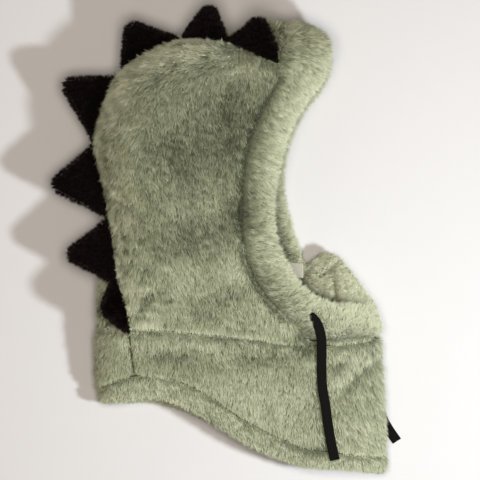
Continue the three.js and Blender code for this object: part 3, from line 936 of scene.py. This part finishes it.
def strand_form(tree):
    """One strand: a square stood on its corner, widest halfway up."""
    side = math.sqrt(0.5)
    inputs = {"Size X": side, "Size Y": side, "Vertices X": 2, "Vertices Y": 2}
    square = new_node(tree, "GeometryNodeMeshGrid", inputs).outputs["Mesh"]
    turn = (math.pi / 2, math.pi / 4, 0)
    inputs = {"Geometry": square, "Rotation": turn, "Translation": (0, 0, 0.5)}
    stood = new_node(tree, "GeometryNodeTransform", inputs).outputs["Geometry"]
    return stored(tree, stood, "tip", apart(tree, position(tree))["Z"])


def strand_size(tree, given):
    """Each strand's width and length."""
    wide = maths(tree, "MULTIPLY", given["Width"], chance(tree, *WIDTHS, given["Seed"]))
    long = maths(tree, "MULTIPLY", given["Length"], chance(tree, *LENGTHS, given["Seed"]))
    return together(tree, wide, wide, maths(tree, "MULTIPLY", long, kept(tree, "trim")))


def strand_tone(tree, given, tuft):
    """Each strand's tone: the cloth's, its tuft's and its own."""
    tuft_tone = maths(tree, "SUBTRACT", tuft["Fac"], 0.5)
    tuft_tone = maths(tree, "MULTIPLY", tuft_tone, given["Tuft tone"])
    tone = maths(tree, "ADD", kept(tree, "tone"), tuft_tone)
    return maths(tree, "ADD", tone, chance(tree, *STRAND_TONES, given["Seed"]))


def stopped_at_table(tree, geometry):
    """Presses what would go through the table flat on it. Gives the geometry."""
    place = apart(tree, position(tree))
    above = together(tree, place["X"], place["Y"], maths(tree, "MAXIMUM", place["Z"], PILE_FLOOR))
    inputs = {"Geometry": geometry, "Position": above}
    return new_node(tree, "GeometryNodeSetPosition", inputs).outputs["Geometry"]


def pile_tree():
    """Strands on a mesh's faces, which follow its nap, gather in tufts and stop at the table."""
    tree = bpy.data.node_groups.new("Plush pile", "GeometryNodeTree")
    for name, kind, value in PILE_INPUTS:
        made = tree.interface.new_socket(name, in_out="INPUT", socket_type="NodeSocket" + kind)
        if value is not None:
            made.default_value = value
    tree.interface.new_socket("Geometry", in_out="OUTPUT", socket_type="NodeSocketGeometry")
    given = tree.nodes.new("NodeGroupInput").outputs

    density = maths(tree, "MULTIPLY", given["Density"], kept(tree, "openness"))
    spread = new_node(
        tree,
        "GeometryNodeDistributePointsOnFaces",
        {"Mesh": given["Geometry"], "Density": density, "Seed": given["Seed"]},
        distribute_method="RANDOM",
    )
    place = vectors(tree, "MULTIPLY", position(tree), RIPPLE)
    inputs = {"Vector": place, "Scale": given["Tufts"], "Detail": 1.0}
    tuft = new_node(tree, "ShaderNodeTexNoise", inputs, noise_dimensions="3D").outputs
    tone = strand_tone(tree, given, tuft)
    inputs = {
        "Points": stored(tree, spread.outputs["Points"], "tone", tone),
        "Instance": strand_form(tree),
        "Rotation": strand_way(tree, given, spread.outputs["Normal"], tuft),
        "Scale": strand_size(tree, given),
    }
    planted = new_node(tree, "GeometryNodeInstanceOnPoints", inputs).outputs["Instances"]
    real = new_node(tree, "GeometryNodeRealizeInstances", {"Geometry": planted})
    grown = stopped_at_table(tree, real.outputs["Geometry"])
    inputs = {"Geometry": grown, "Material": given["Finish"]}
    dressed = new_node(tree, "GeometryNodeSetMaterial", inputs).outputs["Geometry"]
    put(tree, tree.nodes.new("NodeGroupOutput").inputs["Geometry"], dressed)
    return tree


PILE = pile_tree()


def grown_pile(name, skin, coat, finish, seed):
    """Grows a coat of pile on a skin, as one plain mesh."""
    strands, *own = COATS[coat]
    areas = np.zeros(len(skin.polygons))
    skin.polygons.foreach_get("area", areas)
    shares = np.zeros(len(skin.polygons), np.float32)
    skin.attributes["openness"].data.foreach_get("value", shares)
    density = strands / float((areas * shares).sum())
    carrier = linked(name, skin)
    coat_nodes = carrier.modifiers.new("Pile", "NODES")
    coat_nodes.node_group = PILE
    sockets = {s.name: s.identifier for s in PILE.interface.items_tree if s.in_out == "INPUT"}
    inputs = dict(zip(COAT_INPUTS, own), Density=density, Seed=seed, Finish=finish)
    for key, value in inputs.items():
        coat_nodes[sockets[key]] = value
    mesh = applied(carrier)
    mesh.name = name
    for extra in ("nap", "stand", "trim", "openness"):
        if extra in mesh.attributes:
            mesh.attributes.remove(mesh.attributes[extra])
    mesh.shade_smooth()
    return piece_of(name, mesh, finish)


# Nap, trim, stand and tone of the coats


def beside(far, reach, share=1.0):
    """A change of the pile by a share, full at a seam and fading over a reach in millimetres."""
    return share * np.exp(-((far / (reach * MM)) ** 2))


def waves(points):
    """Noise at each point."""
    return np.array([noise.noise(Vector(point)) for point in points])


def laid(nap, normals):
    """The part of a way that runs along the cloth."""
    return nap - normals * (nap * normals).sum(1, keepdims=True)


def swirled(points, nap, normals):
    """Turns the nap this way and that over the cloth, as hands leave it."""
    turns = waves(points * SWIRL_WAVES) * SWIRL
    across = np.cross(normals, nap)
    return nap * np.cos(turns)[:, None] + across * np.sin(turns)[:, None]


def tone_brushed_and_painted(points, tone):
    """Tone of the pile, 0 dark to 1 light, from patches that are partly brushed and partly painted
    light and shade, and a soft mottle.
    """
    tones = np.full(len(points), tone)
    for x, y, along, across, turn, change in BRUSHED_AND_PAINTED_LIGHT:
        turn = math.radians(turn)
        dx = points[:, 0] / MM - x
        dy = points[:, 1] / MM - y
        far_along = (dx * math.cos(turn) + dy * math.sin(turn)) / along
        far_across = (dy * math.cos(turn) - dx * math.sin(turn)) / across
        tones += change * np.exp(-(far_along**2) - far_across**2)
    return tones + MOTTLE * waves(points * MOTTLE_WAVES)


def crown_coat(name, points, trees):
    """A crown panel's coat: back along the spine, and down elsewhere."""
    other = "crown_left" if name == "crown_right" else "crown_right"
    _, from_spine = away_from(points, trees[other])
    _, from_casing = away_from(points, trees["face_band"])
    _, from_collar = away_from(points, trees["neck_cape"])
    back, front = FOREHEAD
    behind_forehead = np.clip((front - points[:, 0] / MM) / (front - back), 0, 1)
    by_spine = beside(from_spine, reach=40) * behind_forehead
    rise = np.maximum(points[:, 1] - CROWN_MIDDLE[1], 0)
    aside = points[:, 0] - CROWN_MIDDLE[0]
    backwards = unit(np.column_stack([-rise, aside, np.zeros(len(points))]))
    nap = DOWN + (backwards - DOWN) * by_spine[:, None]
    trim = 1 - beside(from_casing, reach=3, share=0.4) - beside(from_spine, reach=5, share=0.6)
    if name == "crown_left":
        trim -= beside(from_spine, reach=12, share=0.2)
        trim *= 1 - beside(from_lines(points, BETWEEN_SPIKES), reach=12, share=0.75)
    stand = 1 - beside(from_collar, reach=5, share=0.7)
    # Painted light on a strip above the collar seam, and painted shade beside the casing seam, more of
    # it higher up
    high_up = np.clip((points[:, 1] / MM + 10) / 50, 0.2, 1)
    tone = beside(from_collar, reach=5, share=0.2) - beside(from_casing, reach=6, share=0.35) * high_up
    tone += (LOCK_PAINTED_LIGHT + LOCK_TONE * waves(points * LOCK_WAVES)) * by_spine
    return nap, trim, stand, tone


def on_lobe(points):
    """Which of the face casing's places lie on its far end, the lobe past the near rim."""
    low = points[:, 2] < LOBE_HEIGHT
    return low & (points[:, 0] > LOBE_START) & (points[:, 1] < LOBE_TOP)


def casing_coat(points, trees):
    """The face casing's coat: from its seam over the rim, and a little down."""
    from_seam = np.full(len(points), np.inf)
    nap = np.zeros((len(points), 3))
    for other in ("crown_right", "crown_left", "neck_cape"):
        away, far = away_from(points, trees[other])
        from_seam = np.minimum(from_seam, far)
        nap += away / (far[:, None] / MM + 1) ** 2
        if other == "neck_cape":
            from_collar = far
    lobe = on_lobe(points)
    trim = 1 - beside(from_seam, reach=3, share=0.4) * (1 - beside(from_collar, reach=6))
    trim *= 1 - beside(from_collar, reach=6, share=0.25)
    trim *= np.where(lobe, LOBE_SHORTER, 1.0)
    stand = (1 - beside(from_collar, reach=5, share=0.7)) * np.where(lobe, LOBE_FLATTER, 1.0)
    # Painted light and shade across the casing's roll: darker at its seam and lighter towards its rim,
    # lighter by the chin, and higher up lighter by the seam with a band of painted shade past that
    tone = 0.2 * np.clip(from_seam / CASING_ACROSS, 0, 1) - 0.05
    tone += beside(from_collar, reach=9, share=0.25)
    high_up = np.clip(points[:, 1] / MM / 40, 0, 1)
    tone += beside(from_seam, reach=7, share=0.3) * high_up
    tone -= beside(from_seam - CASING_SHADE_BAND, reach=6, share=0.15) * high_up
    return unit(nap) + 0.35 * DOWN, trim, stand, tone


def collar_coat(points, trees):
    """The collar's coat: straight down from the neck seam, and shorter past the hem's stitching."""
    gaps = [away_from(points, trees[other])[1] for other in ("crown_right", "crown_left", "face_band")]
    from_seam = np.min(gaps, axis=0)
    past_hem = points[:, 1] < np.interp(points[:, 0], *(np.array(HEM_LINE).T * MM))
    trim = 1 - 0.4 * np.clip(from_lines(points, HEM_LINE) / HEM_EDGE, 0, 1) * past_hem
    # a little painted shade just below the neck seam
    tone = -beside(from_seam, reach=3, share=0.06)
    return np.tile(DOWN, (len(points), 1)), trim, np.ones(len(points)), tone


def coat_of(name, points, trees):
    """Nap, trim, stand and tone of a cloth piece's pile, before lines and patches."""
    if name == "face_band":
        return casing_coat(points, trees)
    if name == "neck_cape":
        return collar_coat(points, trees)
    return crown_coat(name, points, trees)


def share_kept(far, press):
    """Share of its length that the pile keeps some millimetres from what presses it."""
    near, reach, least = press
    return np.clip((far - near) / reach, least, 1.0)


def by_cord(points):
    """Share of its length that the pile keeps beside and under the cord that lies on it."""
    start = between(CORD_RIGHT, 0.5)
    end = between(CORD_RIGHT, len(CORD_RIGHT) - 1.4)
    route = [start[:2], *(row[:2] for row in CORD_RIGHT[1:-1]), end[:2]]
    return share_kept(from_lines(points, route) / MM, CORD_PRESS)


def by_label(points):
    """Share of its length that the pile keeps around the label."""
    return share_kept(np.linalg.norm(points / MM - LABEL_MIDDLE, axis=1), LABEL_PRESS)


# The hood's pieces


def cloth_piece(name, skin, lines, trees, everything, seed):
    """A cloth part: its skin, and the coat of pile on it."""
    points, normals = places(skin)
    nap, trim, stand, tone = coat_of(name, points, trees)
    nap = swirled(points, laid(nap, normals), normals)
    line_trim, line_shade = lines
    if name in ("face_band", "neck_cape"):
        beside_cord = by_cord(points)
        trim = trim * beside_cord * by_label(points)
        stand = stand * beside_cord
    underneath = (normals[:, 2] < -0.4) & (points[:, 2] < UNDERSIDE)
    store(skin, "nap", nap)
    store(skin, "trim", np.maximum(trim * line_trim, SHORTEST_TRIM))
    store(skin, "stand", np.where(underneath, FLAT_ON_TABLE, stand))
    store(skin, "tone", tone_brushed_and_painted(points, TONES[name]) + tone + line_shade)
    shows = openness(skin, everything)
    if name == "face_band":
        centres = np.array([tuple(polygon.center) for polygon in skin.polygons])
        shows *= np.where(on_lobe(centres), LOBE_DENSER, 1.0)
    store(skin, "openness", shows, "FACE")
    pile = grown_pile(name + "_pile", skin, name, SAGE_PILE, seed)
    piece = piece_of(name + "_skin", skin, SAGE_SHADED_BACKING, [name])


def spike_piece(name, skin, trees, everything, seed):
    """A stuffed spike: its skin, and short black pile that stands off it."""
    points, normals = places(skin)
    way, far = from_crown(points, trees)
    store(skin, "nap", SPIKE_LEAN * laid(way, normals))
    store(skin, "trim", np.clip(SPIKE_SHORT + far / SPIKE_SHORT_REACH, SPIKE_SHORT, 1))
    store(skin, "stand", np.ones(len(points)))
    store(skin, "tone", np.full(len(points), SPIKE_TONE))
    store(skin, "openness", openness(skin, everything), "FACE")
    grown_pile(name + "_pile", skin, "spike", BLACK_PILE, seed)
    piece = piece_of(name + "_skin", skin, BLACK_CLOTH, [name])


def label_piece():
    """A folded tape with rounded edges, where its solid lies."""
    work = bmesh.new()
    work.from_mesh(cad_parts["neck_label"].data)
    bmesh.ops.remove_doubles(work, verts=work.verts, dist=SAME_POINT)
    bmesh.ops.bevel(
        work, geom=work.edges[:], offset=LABEL_EDGE, segments=2, affect="EDGES", profile=0.6
    )
    mesh = bpy.data.meshes.new("neck_label_tape")
    work.to_mesh(mesh)
    work.free()
    piece = piece_of("neck_label_tape", mesh, TAPE, ["neck_label"])


def thread_centres(route, everything):
    """Places along a route, a little above whatever skin lies uppermost."""
    route = np.asarray(route, float) * MM
    lengths = np.linalg.norm(np.diff(route, axis=0), axis=1)
    travelled = np.concatenate([[0], np.cumsum(lengths)])
    steps = np.linspace(0, travelled[-1], int(travelled[-1] / THREAD_STEP))
    middles = np.stack([np.interp(steps, travelled, route[:, axis]) for axis in (0, 1)], axis=1)
    heights = []
    for x, y in middles:
        hit = everything.ray_cast(Vector((x, y, 0.5)), Vector((0, 0, -1)))[0]
        heights.append(hit.z if hit else heights[-1])
    window = np.ones(THREAD_EVENED) / THREAD_EVENED
    heights = np.convolve(np.pad(heights, THREAD_EVENED // 2, "edge"), window, "valid")
    return np.column_stack([middles, heights + THREAD_HEIGHT])


def thread_piece(name, routes, everything):
    """Stitching along routes, as one mesh of thin tubes, dark with the painted shadow of the furrows
    they lie in.
    """
    vertices = []
    faces = []
    half = THREAD_WIDTH / 2
    for route in routes:
        centres = thread_centres(route, everything)
        last = len(centres) - 1
        faces += tube_faces(len(vertices), len(centres), THREAD_SIDES)
        for k, centre in enumerate(centres):
            along = unit(centres[min(k + 1, last)] - centres[max(k - 1, 0)])
            vertices += ring(centre, along, (0, 0, 1), half, half, THREAD_SIDES)
    mesh = bpy.data.meshes.new(name)
    mesh.from_pydata(vertices, [], faces)
    recalculated(mesh)
    mesh.shade_smooth()
    piece_of(name, mesh, SHADOWED_THREAD)


# Camera, light and table


def make_camera():
    """A camera straight above the hood, far off and narrow."""
    data = bpy.data.cameras.new("Above")
    data.sensor_width = SENSOR
    data.lens = SENSOR * (CAMERA_HEIGHT - VIEW_LEVEL) / VIEW_WIDTH
    data.clip_start = 0.1
    data.clip_end = 50
    camera = linked("Above", data)
    camera.location = (*VIEW_CENTRE, CAMERA_HEIGHT)
    bpy.context.scene.camera = camera


def area_light(name, shape, size, power, tint, place):
    """A lamp that shines at the hood from a place and isn't seen itself."""
    data = bpy.data.lights.new(name, "AREA")
    data.shape = shape
    data.size = size
    data.energy = power
    data.color = tint
    lamp = linked(name, data)
    lamp.location = place
    lamp.rotation_euler = Vector(place).to_track_quat("Z", "Y").to_euler()
    lamp.visible_camera = False


def make_stage():
    """The pale table, its two lamps and the dim room."""
    mesh = bpy.data.meshes.new("Table")
    half = FLOOR_SIZE / 2
    corners = [(-half, -half, 0), (half, -half, 0), (half, half, 0), (-half, half, 0)]
    mesh.from_pydata(corners, [], [(0, 1, 2, 3)])
    mesh.materials.append(floor_material())
    linked("Table", mesh)
    area_light("Lamp", "DISK", LAMP_SIZE, LAMP_POWER, LAMP_COLOUR, LAMP_PLACE)
    area_light("Panel", "SQUARE", PANEL_SIZE, PANEL_POWER, PANEL_COLOUR, (0, 0, PANEL_HEIGHT))
    world = bpy.data.worlds.new("Room")
    world.use_nodes = True
    world.node_tree.nodes["Background"].inputs["Color"].default_value = (*ROOM_COLOUR, 1)
    bpy.context.scene.world = world
    bpy.context.scene.view_settings.view_transform = "Standard"


make_camera()
cord_piece("drawcord_right_braid", "drawcord_right", CORD_RIGHT)
cord_piece("drawcord_left_braid", "drawcord_left", CORD_LEFT)

skins = {name: skin_mesh(name) for name in (*CLOTH, *SPIKES)}
lined = {}
for name, skin in skins.items():
    rested(skin, SPIKE_INSET if name in SPIKES else 0.0)
    lined[name] = sewn(skin, LINES.get(name, ()))
trees = {name: tree_of(skins[name]) for name in CLOTH}
for name in SPIKES:
    lengthened(skins[name], trees, *LONGER_BASES[name])
everything = whole_tree(skins.values())

for seed, name in enumerate(CLOTH, FIRST_SEED):
    cloth_piece(name, skins[name], lined[name], trees, everything, seed)
for seed, name in enumerate(SPIKES, FIRST_SEED + len(CLOTH)):
    spike_piece(name, skins[name], trees, everything, seed)
label_piece()
thread_piece("seam_thread_shadow", THREADS, everything)
make_stage()
